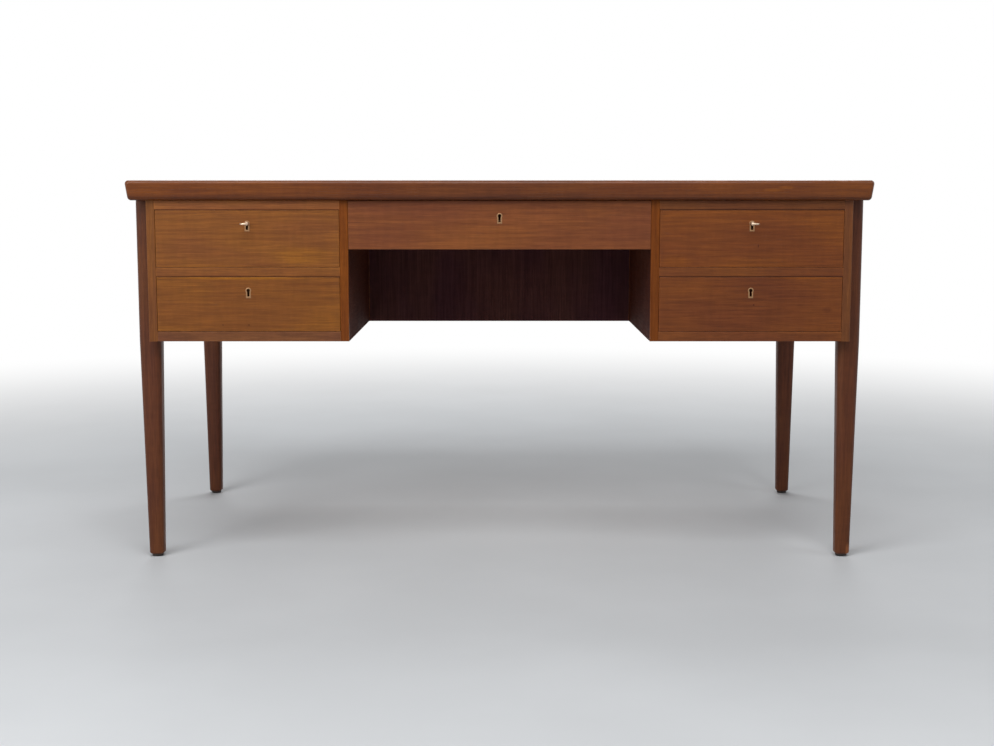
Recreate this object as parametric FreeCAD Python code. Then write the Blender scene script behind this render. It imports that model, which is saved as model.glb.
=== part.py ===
import FreeCAD, Part
import math
import os
from collections import namedtuple

# Writing desk: a thick top on two drawer pedestals with a kneehole between them, on four tapered legs.
# Lengths are millimetres. X runs to the sitter's right, Y away from the sitter and Z up from the floor.
# Pieces are drawn with Y = 0 on the front of the case, and moved as one to the desk's origin when written.

Vector = FreeCAD.Vector

# Overall sizes, the width and depth being those of the top
desk_width = 1404.0
desk_depth = 726.0
desk_height = 731.5

# Top: a veneered panel with mitred lippings, undercut and rounded all round
top_thickness = 37.5
top_undercut = 4.8
top_upper_radius = 6.5
top_lower_radius = 7.5
top_corner_radius = 8.0
lipping_width = 22.0
front_overhang = 15.0
end_overhang = 36.0

# Case
case_height = 266.5
kneehole_width = 572.0
panel_thickness = 16.0
bottom_thickness = 18.5
rail_height = 18.0
rail_depth = 60.0
partition_setback = 443.0
edge_ease = 1.0

# Legs, rebated over the outer sides, straight beside the case and tapered below it
leg_width = 42.0
leg_foot_width = 28.5
leg_corner_radius = 13.0
leg_setback = 24.0
leg_shoulder = 15.0
leg_foot_chamfer = 3.0

# Glides under the legs
glide_diameter = 22.0
glide_height = 5.0
glide_edge = 2.0
glide_pin_diameter = 5.0
glide_pin_length = 16.0

# Wood screws, with flush heads
screw_diameter = 5.0
screw_head_diameter = 10.0
screw_head_height = 3.5
screw_fit = 0.1
leg_screw_bite_share = 0.8
leg_screw_height_shares = (0.17, 0.85)
top_screw_bite_share = 0.6
rail_screw_place_shares = (0.2, 0.8)

# Blocks behind the drawers that carry the top's rear screws
block_width = 30.0
block_height = 30.0
block_clearance = 2.0

# Drawers, with the pedestals' rows from the top down, each a step taller than the row below it
pedestal_rows = ("upper", "lower")
row_step = 4.1
front_gap = 0.6
front_thickness = 20.0
centre_front_height = 91.4
drawer_rear_gap = 18.0
drawer_side_thickness = 12.0
drawer_side_drop = 10.0
drawer_side_lift = 3.0
drawer_back_thickness = 10.0
drawer_back_drop = 4.0
drawer_bottom_thickness = 4.0
drawer_bottom_lift = 6.0
bottom_groove_depth = 5.0
panel_fit = 0.1

# Dovetails between drawer fronts and sides, as shares of the pitch
tail_count = 3
tail_length = 13.0
tail_end_share = 0.62
tail_root_share = 0.42

# Runners in grooves along the drawer sides
runner_height = 12.0
runner_groove_depth = 6.0
running_gap = 0.3

# Locks let into the drawer fronts from behind
pedestal_key_drop = 25.0
centre_key_drop = 28.5
lock_width = 44.0
lock_wall = 2.0
lock_fit = 0.2
lock_ear = 10.0
lock_plate_thickness = 1.6
lock_screw_diameter = 3.0
lock_screw_length = 10.0
lock_screw_head_diameter = 6.0
lock_screw_head_height = 1.5
bolt_width = 22.0
bolt_thickness = 5.0
bolt_throw = 7.0
mortise_gap = 0.7

# Keys and keyhole plates
key_shaft_diameter = 5.0
key_clearance = 0.7
key_bit_length = 7.8
key_bit_thickness = 2.0
key_bit_end_gap = 1.0
key_reach = 29.0
key_bow_width = 18.5
key_bow_length = 16.0
key_bow_thickness = 3.6
key_bow_hole_width = 8.4
key_bow_hole_length = 7.2
key_bow_ease = 0.6
key_collar_diameter = 8.0
key_collar_length = 2.5
key_collar_gap = 8.0
keyhole_slot_width = 4.4
keyhole_slot_drop = 11.5
plate_head_diameter = 11.0
plate_body_width = 9.4
plate_drop = 14.5
plate_thickness = 2.5
plate_proud = 0.4
plate_fit = 0.1

# Overrun of cutting shapes, and the distance within which two places count as one
overrun = 1.0
same_place = 0.001

# Places worked out from the sizes
case_top = desk_height - top_thickness
case_underside = case_top - case_height
case_half = desk_width / 2 - end_overhang
case_depth = desk_depth - 2 * front_overhang
kneehole_half = kneehole_width / 2
bay_inner = kneehole_half + panel_thickness
bay_outer = case_half - panel_thickness
bay_width = bay_outer - bay_inner
bay_centre = (bay_inner + bay_outer) / 2
partition_back = partition_setback + panel_thickness
row_count = len(pedestal_rows)
fronts_height = case_height - bottom_thickness - row_count * (rail_height + 2 * front_gap)
row_heights = [fronts_height / row_count + row_step * ((row_count - 1) / 2 - row) for row in range(row_count)]
drawer_end = partition_setback - drawer_rear_gap
leg_inner = case_half - leg_shoulder
leg_centre = leg_inner + leg_width / 2
leg_places = {
    "front": leg_setback + leg_width / 2,
    "rear": case_depth - leg_setback - leg_width / 2,
}
keyhole_radius = key_shaft_diameter / 2 + key_clearance
chamber_radius = key_bit_length + key_clearance
channel_back = front_thickness - lock_plate_thickness - lock_wall
channel_front = channel_back - bolt_thickness - 2 * running_gap
lock_front = channel_front - lock_wall
lock_plate_width = lock_width + 2 * lock_ear
desk_front = min(-front_overhang, -key_reach - key_bow_length / 2)
desk_back = case_depth + front_overhang
to_origin = Vector(0, -(desk_front + desk_back) / 2, 0)

sides = {"left": -1, "right": 1}

Drawer = namedtuple("Drawer", "name centre width low high key_height")


def drawer_list():
    """The five drawers: where each front lies, and how high its key goes in."""
    drawers = []
    for hand, side in sides.items():
        high = case_top - rail_height - front_gap
        for row_name, height in zip(pedestal_rows, row_heights):
            low = high - height
            width = bay_width - 2 * front_gap
            name = row_name + "_" + hand
            drawers.append(Drawer(name, side * bay_centre, width, low, high, high - pedestal_key_drop))
            high = low - rail_height - 2 * front_gap
    high = case_top - front_gap
    width = kneehole_width - 2 * front_gap
    drawers.append(Drawer("centre", 0, width, high - centre_front_height, high, high - centre_key_drop))
    return drawers


def block(x, y, z):
    """Box between two places along each axis, given in either order."""
    corner = Vector(min(x), min(y), min(z))
    return Part.makeBox(max(x) - min(x), max(y) - min(y), max(z) - min(z), corner)


def around(centre, width):
    """The two places half a width either side of a centre."""
    return (centre - width / 2, centre + width / 2)


def rod(start, direction, diameter, length):
    """Round bar from a point along a direction."""
    return Part.makeCylinder(diameter / 2, length, start, direction)


def prism(points, travel):
    """Solid swept from a closed outline of points along a straight travel."""
    return Part.Face(Part.makePolygon(points + points[:1])).extrude(travel)


def ease_front(solid, *axes):
    """Round the edges on the front of the case that run along the named axes."""
    chosen = []
    for edge in solid.Edges:
        ends = [vertex.Point for vertex in edge.Vertexes]
        if any(abs(point.y) > same_place for point in ends):
            continue
        run = ends[-1] - ends[0]
        if any(abs(getattr(run, axis)) > same_place for axis in axes):
            chosen.append(edge)
    return solid.makeFillet(edge_ease, chosen)


def edges_reaching(solid, low, high):
    """Edges whose lowest point is at one height and whose highest is at another."""
    return [edge for edge in solid.Edges
            if abs(edge.BoundBox.ZMin - low) < same_place and abs(edge.BoundBox.ZMax - high) < same_place]


def write(node, *solids):
    """Write one node, one solid or a group of separate solids, about the desk's origin."""
    shape = solids[0] if len(solids) == 1 else Part.makeCompound(list(solids))
    shape = shape.copy()
    shape.translate(to_origin)
    shape.exportStep("parts/" + node + ".step")


def flush_screw(head, direction, shank_length, grow=0.0):
    """Screw whose head is flush at a point; grown, it is the cutter for the screw's own hole."""
    outset = overrun if grow else 0.0
    head_diameter = screw_head_diameter + 2 * grow
    cap = rod(head - direction * outset, direction, head_diameter, screw_head_height + outset)
    shank_start = head + direction * screw_head_height
    shank = rod(shank_start, direction, screw_diameter + 2 * grow, shank_length + grow)
    return cap.fuse(shank).removeSplitter()


def rounded_square(centre, width, radius):
    """Closed level wire of a square with rounded corners."""
    half = width / 2
    reach = half - radius
    bend = reach + radius * math.sqrt(0.5)
    edges = []
    for quarter in range(4):
        turn = FreeCAD.Rotation(Vector(0, 0, 1), 90 * quarter)
        corners = ((half, -reach), (half, reach), (bend, bend), (reach, half))
        start, first, middle, last = [centre + turn.multVec(Vector(x, y, 0)) for x, y in corners]
        edges.append(Part.makeLine(start, first))
        edges.append(Part.Arc(first, middle, last).toShape())
    return Part.Wire(edges)


def top_screw_places():
    """Where the top's screws go in from below: point under the carrier, and the carrier's height."""
    places = []
    block_depth = drawer_rear_gap - block_clearance
    block_middle = partition_setback - block_depth / 2
    for side in sides.values():
        for share in rail_screw_place_shares:
            x = side * (bay_inner + share * bay_width)
            places.append((Vector(x, rail_depth / 2, case_top - rail_height), rail_height))
        for x in (bay_inner + block_width / 2, bay_outer - block_width / 2, kneehole_half - block_width / 2):
            places.append((Vector(side * x, block_middle, case_top - block_height), block_height))
    return places


def top_screws(grow=0.0):
    """Screws up through rails and blocks into the top, or the cutters for their holes."""
    bite = top_screw_bite_share * top_thickness
    up = Vector(0, 0, 1)
    return [flush_screw(point, up, carrier - screw_head_height + bite, grow)
            for point, carrier in top_screw_places()]


def leg_screws(grow=0.0):
    """Screws from inside the outer sides into the legs, or the cutters for their holes."""
    bite = leg_screw_bite_share * (leg_width - leg_shoulder)
    shank = panel_thickness - screw_head_height + bite
    screws = []
    for side in sides.values():
        for y in leg_places.values():
            for share in leg_screw_height_shares:
                head = Vector(side * bay_outer, y, case_underside + share * case_height)
                screws.append(flush_screw(head, Vector(side, 0, 0), shank, grow))
    return screws


def mortise(drawer):
    """Pocket over a drawer for its lock's bolt."""
    x = around(drawer.centre, bolt_width + 2 * mortise_gap)
    y = (channel_front - mortise_gap, channel_back + mortise_gap)
    return block(x, y, (drawer.high, drawer.high + bolt_throw + mortise_gap))


def rectangle(x, y, z):
    """Closed level wire of a rectangle."""
    corners = [Vector(x[0], y[0], z), Vector(x[1], y[0], z), Vector(x[1], y[1], z), Vector(x[0], y[1], z)]
    return Part.makePolygon(corners + corners[:1])


def make_top(drawers):
    """The top panel, and its four lippings with their shared undercut and rounded edge."""
    slope = math.atan2(top_undercut, top_thickness)
    rounding_loss = top_upper_radius * ((1 + math.sin(slope)) / math.cos(slope) - 1)
    half = desk_width / 2 + rounding_loss
    x = (-half, half)
    y = (-front_overhang - rounding_loss, case_depth + front_overhang + rounding_loss)
    low_x = (x[0] + top_undercut, x[1] - top_undercut)
    low_y = (y[0] + top_undercut, y[1] - top_undercut)
    slab = Part.makeLoft([rectangle(low_x, low_y, case_top), rectangle(x, y, desk_height)], True, True)
    slab = slab.makeFillet(top_corner_radius, edges_reaching(slab, case_top, desk_height))
    slab = slab.makeFillet(top_upper_radius, edges_reaching(slab, desk_height, desk_height))
    slab = slab.makeFillet(top_lower_radius, edges_reaching(slab, case_top, case_top))
    inner_x = (x[0] + lipping_width, x[1] - lipping_width)
    inner_y = (y[0] + lipping_width, y[1] - lipping_width)
    cutters = Part.makeCompound(top_screws(screw_fit) + [mortise(drawer) for drawer in drawers])
    write("top_panel", block(inner_x, inner_y, (case_top, desk_height)).cut(cutters))

    floor = case_top - overrun
    sweep = Vector(0, 0, top_thickness + 2 * overrun)

    def corner(i, j, inset):
        reach = lipping_width if inset else -overrun
        return Vector(x[i] + reach * (1 - 2 * i), y[j] + reach * (1 - 2 * j), floor)

    runs = {
        "front": ((0, 0), (1, 0)),
        "right": ((1, 0), (1, 1)),
        "back": ((1, 1), (0, 1)),
        "left": ((0, 1), (0, 0)),
    }
    for name, (start, stop) in runs.items():
        wedge = [corner(*start, False), corner(*stop, False), corner(*stop, True), corner(*start, True)]
        write("top_lipping_" + name, slab.common(prism(wedge, sweep)).cut(cutters))


def make_case(drawers):
    """Upright panels, bottoms, rails and partition."""
    full_depth = (0, case_depth)
    full_height = (case_underside, case_top)
    floor_height = (case_underside, case_underside + bottom_thickness)
    partition = (partition_setback, partition_back)
    leg_holes = Part.makeCompound(leg_screws(screw_fit))
    rail_holes = Part.makeCompound(top_screws(screw_fit) + [mortise(drawer) for drawer in drawers])
    for hand, side in sides.items():
        outer = block((side * bay_outer, side * case_half), full_depth, full_height)
        write("outer_side_" + hand, ease_front(outer, "z").cut(leg_holes))
        inner = block((side * kneehole_half, side * bay_inner), full_depth, full_height)
        write("inner_side_" + hand, ease_front(inner, "x", "z"))
        bay = (side * bay_inner, side * bay_outer)
        write("pedestal_bottom_" + hand, ease_front(block(bay, full_depth, floor_height), "x"))
        behind_drawers = (case_underside + bottom_thickness, case_top)
        write("partition_" + hand, block(bay, partition, behind_drawers))
        high = case_top
        for name, height in zip(("top_rail_", "middle_rail_"), row_heights):
            rail = block(bay, (0, rail_depth), (high - rail_height, high))
            write(name + hand, ease_front(rail, "x").cut(rail_holes))
            high -= rail_height + height + 2 * front_gap
    kneehole = (-kneehole_half, kneehole_half)
    write("modesty_panel", block(kneehole, partition, full_height))
    write("book_bay_bottom", block(kneehole, (partition_back, case_depth), floor_height))


def make_fixings():
    """Blocks behind the drawers, and the screws of the top and the legs."""
    block_front = partition_setback - drawer_rear_gap + block_clearance
    holes = Part.makeCompound(top_screws(screw_fit))
    blocks = []
    for side in sides.values():
        for x in (bay_inner, bay_outer - block_width, kneehole_half - block_width):
            stretch = (side * x, side * (x + block_width))
            high = (case_top - block_height, case_top)
            blocks.append(block(stretch, (block_front, partition_setback), high).cut(holes))
    write("top_blocks", *blocks)
    write("top_screws", *top_screws())
    write("leg_screws", *leg_screws())


def glide_pin(foot, grow=0.0):
    """Pin of a glide, up into the leg, or the cutter for its hole."""
    return rod(foot, Vector(0, 0, 1), glide_pin_diameter + 2 * grow, glide_pin_length + grow)


def make_legs():
    """Four legs with their shoulders under the outer sides, and the glides under them."""
    shrink = leg_foot_width / leg_width
    toe_width = leg_foot_width - 2 * leg_foot_chamfer
    toe_radius = leg_corner_radius * toe_width / leg_width
    holes = Part.makeCompound(leg_screws(screw_fit))
    glides = []
    for hand, side in sides.items():
        for place, y in leg_places.items():
            centre = Vector(side * leg_centre, y, 0)
            foot = centre + Vector(0, 0, glide_height)
            ankle = foot + Vector(0, 0, leg_foot_chamfer)
            knee = centre + Vector(0, 0, case_underside)
            knee_wire = rounded_square(knee, leg_width, leg_corner_radius)
            ankle_wire = rounded_square(ankle, leg_foot_width, leg_corner_radius * shrink)
            toe_wire = rounded_square(foot, toe_width, toe_radius)
            taper = Part.makeLoft([knee_wire, ankle_wire, toe_wire], True, True)
            post = Part.Face(knee_wire).extrude(Vector(0, 0, case_height))
            rebate_x = (side * (leg_inner - overrun), side * case_half)
            rebate = block(rebate_x, around(y, leg_width + 2 * overrun), (case_underside, case_top + overrun))
            leg = taper.fuse(post).removeSplitter().cut(rebate)
            leg = leg.cut(glide_pin(foot, screw_fit)).cut(holes)
            write("leg_" + place + "_" + hand, leg)
            disc = rod(centre, Vector(0, 0, 1), glide_diameter, glide_height)
            disc = disc.makeFillet(glide_edge, edges_reaching(disc, 0, 0))
            glides.append(disc.fuse(glide_pin(foot)))
    write("leg_glides", *glides)


def side_heights(drawer):
    """Lowest and highest edge of a drawer's sides."""
    return (drawer.low + drawer_side_lift, drawer.high - drawer_side_drop)


def runner_heights(drawer, gap=0.0):
    """Lowest and highest edge of a drawer's runners, or of their grooves with a gap."""
    return around(sum(side_heights(drawer)) / 2, runner_height + 2 * gap)


def make_runners(drawers):
    """Strips on the panels, one pair for each drawer."""
    strips = []
    for drawer in drawers:
        for side in sides.values():
            wall = drawer.centre + side * (drawer.width / 2 + front_gap)
            tip = drawer.centre + side * (drawer.width / 2 - runner_groove_depth + running_gap)
            reach = (front_thickness + running_gap, partition_setback)
            strips.append(block((wall, tip), reach, runner_heights(drawer)))
    write("drawer_runners", *strips)


def dovetails(drawer, side):
    """Tails on the front end of one drawer side."""
    low, high = side_heights(drawer)
    pitch = (high - low) / tail_count
    outer = drawer.centre + side * drawer.width / 2
    travel = Vector(-side * drawer_side_thickness, 0, 0)
    tip = front_thickness - tail_length
    tails = []
    for count in range(tail_count):
        middle = low + (count + 0.5) * pitch
        root_low, root_high = around(middle, tail_root_share * pitch)
        end_low, end_high = around(middle, tail_end_share * pitch)
        outline = [Vector(outer, front_thickness, root_low), Vector(outer, tip, end_low),
                   Vector(outer, tip, end_high), Vector(outer, front_thickness, root_high)]
        tails.append(prism(outline, travel))
    return tails


def drawer_bottom(drawer, grow=0.0):
    """Thin bottom of a drawer, or with some growth the cutter for its grooves."""
    reach = drawer.width / 2 - drawer_side_thickness + bottom_groove_depth + grow
    low = drawer.low + drawer_side_lift + drawer_bottom_lift
    depth = (front_thickness - bottom_groove_depth - grow, drawer_end + grow)
    heights = (low - grow, low + drawer_bottom_thickness + grow)
    return block(around(drawer.centre, 2 * reach), depth, heights)


def keyhole_outline(drawer, radius, width, drop, front, back):
    """Solid with a keyhole's outline between two depths: a round head over a straight body."""
    axis = Vector(drawer.centre, front, drawer.key_height)
    head = rod(axis, Vector(0, 1, 0), 2 * radius, back - front)
    body = block(around(drawer.centre, width), (front, back), (drawer.key_height - drop, drawer.key_height))
    return head.fuse(body).removeSplitter()


def keyhole_plate(drawer, grow=0.0):
    """Outside of the brass plate around the keyhole, or with some growth the cutter for its seat."""
    radius = plate_head_diameter / 2 + grow
    back = plate_thickness - plate_proud + grow
    width = plate_body_width + 2 * grow
    return keyhole_outline(drawer, radius, width, plate_drop + grow, -plate_proud, back)


def keyway(drawer):
    """Cutter for the keyhole through plate, front and lock case."""
    front = -plate_proud - overrun
    size = (keyhole_radius, keyhole_slot_width, keyhole_slot_drop)
    return keyhole_outline(drawer, *size, front, channel_front)


def lock_blank(drawer, grow=0.0):
    """Lock case and its back plate before hollowing, or with some growth the cutter for their seat."""
    low = drawer.key_height - chamber_radius - lock_wall - grow
    heights = (low, drawer.high + (overrun if grow else 0.0))
    width = lock_width + 2 * grow
    case = block(around(drawer.centre, width), (lock_front - grow, front_thickness), heights)
    plate_depth = (front_thickness - lock_plate_thickness - grow, front_thickness)
    plate = block(around(drawer.centre, lock_plate_width + 2 * grow), plate_depth, heights)
    return case.fuse(plate).removeSplitter()


def lock_screws(drawer, grow=0.0):
    """Two round-headed screws through the lock's plate, or the cutters for their holes."""
    screws = []
    forward = Vector(0, -1, 0)
    for side in sides.values():
        x = drawer.centre + side * (lock_width + lock_ear) / 2
        seat = Vector(x, front_thickness, drawer.key_height)
        shank = rod(seat, forward, lock_screw_diameter + 2 * grow, lock_screw_length + grow)
        head = rod(seat, -forward, lock_screw_head_diameter, lock_screw_head_height)
        screws.append(shank if grow else shank.fuse(head))
    return screws


def make_lock(drawer):
    """Lock case with its keyhole plate and screws, and the bolt that slides up out of it."""
    foot = drawer.key_height + keyhole_radius
    channel_x = around(drawer.centre, bolt_width + 2 * running_gap)
    channel = block(channel_x, (channel_front, channel_back), (foot - running_gap, drawer.high + overrun))
    axis = Vector(drawer.centre, channel_front, drawer.key_height)
    chamber = rod(axis, Vector(0, 1, 0), 2 * chamber_radius, channel_back - channel_front)
    case = lock_blank(drawer).cut(channel).cut(chamber).cut(keyway(drawer))
    case = case.cut(Part.makeCompound(lock_screws(drawer, screw_fit)))
    plate = keyhole_plate(drawer).cut(keyway(drawer))
    write("lock_" + drawer.name, case, plate, *lock_screws(drawer))
    bolt_depth = (channel_front + running_gap, channel_back - running_gap)
    write("bolt_" + drawer.name, block(around(drawer.centre, bolt_width), bolt_depth, (foot, drawer.high)))


def make_drawer(drawer):
    """Front, dovetailed sides, back and bottom of one drawer."""
    low, high = side_heights(drawer)
    half = drawer.width / 2
    bottom_groove = drawer_bottom(drawer, panel_fit)
    tails = {side: dovetails(drawer, side) for side in sides.values()}
    span = around(drawer.centre, drawer.width)
    front = ease_front(block(span, (0, front_thickness), (drawer.low, drawer.high)), "x", "z")
    cutters = [bottom_groove, lock_blank(drawer, lock_fit), keyway(drawer), keyhole_plate(drawer, plate_fit)]
    cutters += lock_screws(drawer, screw_fit) + tails[-1] + tails[1]
    for cutter in cutters:
        front = front.cut(cutter)
    write("front_" + drawer.name, front)

    pair = []
    for side in sides.values():
        outer = drawer.centre + side * half
        inner = outer - side * drawer_side_thickness
        plank = block((inner, outer), (front_thickness, drawer_end), (low, high))
        groove_x = (outer - side * runner_groove_depth, outer + side * overrun)
        groove_y = (front_thickness, drawer_end + overrun)
        groove = block(groove_x, groove_y, runner_heights(drawer, running_gap))
        plank = plank.fuse(tails[side]).removeSplitter()
        pair.append(plank.cut(groove).cut(bottom_groove))
    write("sides_" + drawer.name, *pair)

    bottom = drawer_bottom(drawer)
    write("bottom_" + drawer.name, bottom)
    back_x = around(drawer.centre, drawer.width - 2 * drawer_side_thickness)
    back_y = (drawer_end - drawer_back_thickness, drawer_end)
    write("back_" + drawer.name, block(back_x, back_y, (bottom.BoundBox.ZMax, high - drawer_back_drop)))


def make_key(drawer):
    """Key in its lock with the bow level and the bit to the left."""
    bow_middle = Vector(drawer.centre, -key_reach, drawer.key_height - key_bow_thickness / 2)
    along = Vector(0, 1, 0)

    def oval(width, length):
        long_side, short_side = max(width, length) / 2, min(width, length) / 2
        ring = Part.Ellipse(bow_middle, long_side, short_side).toShape()
        if length > width:
            ring.rotate(bow_middle, Vector(0, 0, 1), 90)
        return Part.Face(Part.Wire(ring)).extrude(Vector(0, 0, key_bow_thickness))

    bow = oval(key_bow_width, key_bow_length)
    bow = bow.makeFillet(key_bow_ease, [edge for edge in bow.Edges if edge.Closed])
    neck = Vector(drawer.centre, -key_reach + key_bow_length / 2 - key_bow_thickness, drawer.key_height)
    tip = channel_back - key_bit_end_gap
    shaft = rod(neck, along, key_shaft_diameter, tip - neck.y)
    collar_start = Vector(drawer.centre, -plate_proud - key_collar_gap, drawer.key_height)
    collar = rod(collar_start, along, key_collar_diameter, key_collar_length)
    bit_depth = (channel_front + key_bit_end_gap, tip)
    bit_x = (drawer.centre - key_bit_length, drawer.centre)
    bit = block(bit_x, bit_depth, around(drawer.key_height, key_bit_thickness))
    key = bow.cut(oval(key_bow_hole_width, key_bow_hole_length)).fuse([shaft, collar, bit]).removeSplitter()
    write("key_" + drawer.name, key)


def main():
    """Build and write every node of the desk."""
    os.makedirs("parts", exist_ok=True)
    drawers = drawer_list()
    make_top(drawers)
    make_case(drawers)
    make_fixings()
    make_legs()
    make_runners(drawers)
    for drawer in drawers:
        make_drawer(drawer)
        make_lock(drawer)
        if drawer.name.startswith(pedestal_rows[0]):
            make_key(drawer)


main()
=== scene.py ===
"""Finishes a teak writing desk on the frame packed from its CAD part, and sets it in a plain studio."""
import math

import bmesh
import bpy
from bpy.props import FloatProperty, FloatVectorProperty, IntProperty, PointerProperty
from mathutils import Matrix, Vector


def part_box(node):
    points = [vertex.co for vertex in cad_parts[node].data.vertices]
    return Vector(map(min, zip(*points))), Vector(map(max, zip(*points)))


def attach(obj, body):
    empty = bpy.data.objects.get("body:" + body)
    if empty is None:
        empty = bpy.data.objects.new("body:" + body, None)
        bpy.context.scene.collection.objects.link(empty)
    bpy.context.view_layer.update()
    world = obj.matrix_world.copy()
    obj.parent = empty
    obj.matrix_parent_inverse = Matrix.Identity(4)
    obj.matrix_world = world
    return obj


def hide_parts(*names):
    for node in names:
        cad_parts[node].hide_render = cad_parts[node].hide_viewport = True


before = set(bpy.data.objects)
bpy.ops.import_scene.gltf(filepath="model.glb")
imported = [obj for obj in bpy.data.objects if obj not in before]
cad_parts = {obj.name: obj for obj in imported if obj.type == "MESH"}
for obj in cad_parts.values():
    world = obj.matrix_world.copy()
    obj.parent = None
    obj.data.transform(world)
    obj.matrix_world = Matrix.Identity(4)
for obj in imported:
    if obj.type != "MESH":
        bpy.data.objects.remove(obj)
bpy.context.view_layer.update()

bl_info = {
    "name": "Teak Writing Desk",
    "version": (1, 0, 0),
    "blender": (4, 5, 0),
    "location": "3D View > Sidebar > Desk",
    "description": "Finishes a desk with drawers in teak, beech, brass and nickel",
    "category": "Object",
}

hands = ("left", "right")
drawer_names = ("upper_left", "lower_left", "centre", "upper_right", "lower_right")
key_names = ("upper_left", "upper_right")
leg_names = ("front_left", "front_right", "rear_left", "rear_right")
frame_body = "desk_frame"
case_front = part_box("front_centre")[0].y
origin = (0.0, 0.0, 0.0)

# Number of the first plank in each group, as each plank has a figure of its own
first_plank = {"top": 1, "case": 20, "fronts": 40, "drawers": 60, "runners": 80, "legs": 90}


# Settings that a user would change

def screen_colour(red, green, blue):
    """Linear colour, by the sRGB curve, from the values of 0 to 255 that a screen shows."""
    shares = [value / 255 for value in (red, green, blue)]
    return tuple(c / 12.92 if c <= 0.04045 else ((c + 0.055) / 1.055) ** 2.4 for c in shares)


def colour(name, description, red, green, blue):
    """Colour setting with its default in screen values."""
    return FloatVectorProperty(name=name, description=description, subtype="COLOR", size=3, min=0, max=1,
                               default=screen_colour(red, green, blue))


def length(name, description, default):
    """Length setting, in metres."""
    return FloatProperty(name=name, description=description, default=default, min=0, subtype="DISTANCE",
                         unit="LENGTH", precision=4)


def share(name, description, default):
    """Setting from none to all."""
    return FloatProperty(name=name, description=description, default=default, min=0, max=1,
                         subtype="FACTOR")


def power(name, description, default):
    """Lamp power setting, in watts."""
    return FloatProperty(name=name, description=description, default=default, min=0, subtype="POWER",
                         unit="POWER")


def bands(name, description, default):
    """Setting for growth bands to the metre across the grain."""
    return FloatProperty(name=name, description=description, default=default, min=1, subtype="UNSIGNED")


class DeskWood(bpy.types.PropertyGroup):
    """Colours and figure of the woods"""

    top: colour("Top", "Teak of the worktop and its lippings", 108, 54, 16)
    case: colour("Case", "Teak of the panels, rails and bottoms", 124, 72, 33)
    # Kneehole and Inner faces: teak darkened as painted shade, with the kneehole's shadow put into these
    # colours
    kneehole: colour("Kneehole", "Unbleached teak of the panel at the back of the kneehole", 67, 37, 40)
    inner_faces: colour("Inner faces", "Unbleached teak of the panels beside the kneehole", 60, 22, 10)
    legs: colour("Legs", "Solid teak of the legs", 91, 48, 27)
    # The fronts differ in the wood's own tone, and the right-hand ones are also darker with painted shade
    front_upper_left: colour("Upper left", "Teak of the upper left drawer front", 125, 73, 30)
    front_lower_left: colour("Lower left", "Teak of the lower left drawer front", 126, 74, 25)
    front_centre: colour("Centre", "Teak of the centre drawer front", 117, 64, 34)
    front_upper_right: colour("Upper right", "Teak of the upper right drawer front", 114, 60, 24)
    front_lower_right: colour("Lower right", "Teak of the lower right drawer front", 108, 56, 24)
    beech: colour("Beech", "Beech of the drawer sides and runners", 196, 157, 116)
    plywood: colour("Plywood", "Face of the drawer bottoms", 203, 168, 128)
    growth: bands("Growth", "Growth bands to the metre in most of the teak", 190)
    panel_growth: bands("Panel growth", "Growth bands to the metre in the worktop's veneer", 120)
    kneehole_growth: bands("Kneehole growth", "Growth bands to the metre in the kneehole's panel", 110)
    drawer_growth: bands("Drawer growth", "Growth bands to the metre in the drawer boxes", 70)
    runner_growth: bands("Runner growth", "Growth bands to the metre in the runners and blocks", 80)
    contrast: share("Contrast", "How far the figure strays from the wood's own colour", 0.28)
    drift: share("Drift", "How far broad places turn golden or red", 0.55)
    wear: share("Wear", "How pale the handled edges have become", 0.4)
    roughness: share("Roughness", "Roughness of the oiled finish", 0.4)
    top_roughness: share("Top roughness", "Roughness of the more polished worktop", 0.2)


class DeskMetal(bpy.types.PropertyGroup):
    """Colours of the metal fittings and the glides"""

    brass: colour("Brass", "Keyhole plates, lock cases and bolts", 158, 122, 88)
    dull_plate: colour("Dull plate", "Tarnish of the keyhole plates", 136, 102, 76)
    dull_brass: colour("Dull brass", "Tarnish of the lock cases and bolts", 104, 76, 44)
    nickel: colour("Nickel", "Plating of the keys", 214, 190, 166)
    dull_nickel: colour("Dull nickel", "Tarnish of the keys", 150, 132, 110)
    steel: colour("Steel", "Zinc plating of the screws", 186, 184, 178)
    dull_steel: colour("Dull steel", "Tarnish of the screws", 110, 106, 98)
    glide: colour("Glide", "Hard plastic of the glides", 34, 25, 20)
    tarnish: share("Tarnish", "How much of the metal has dulled", 0.5)


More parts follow.
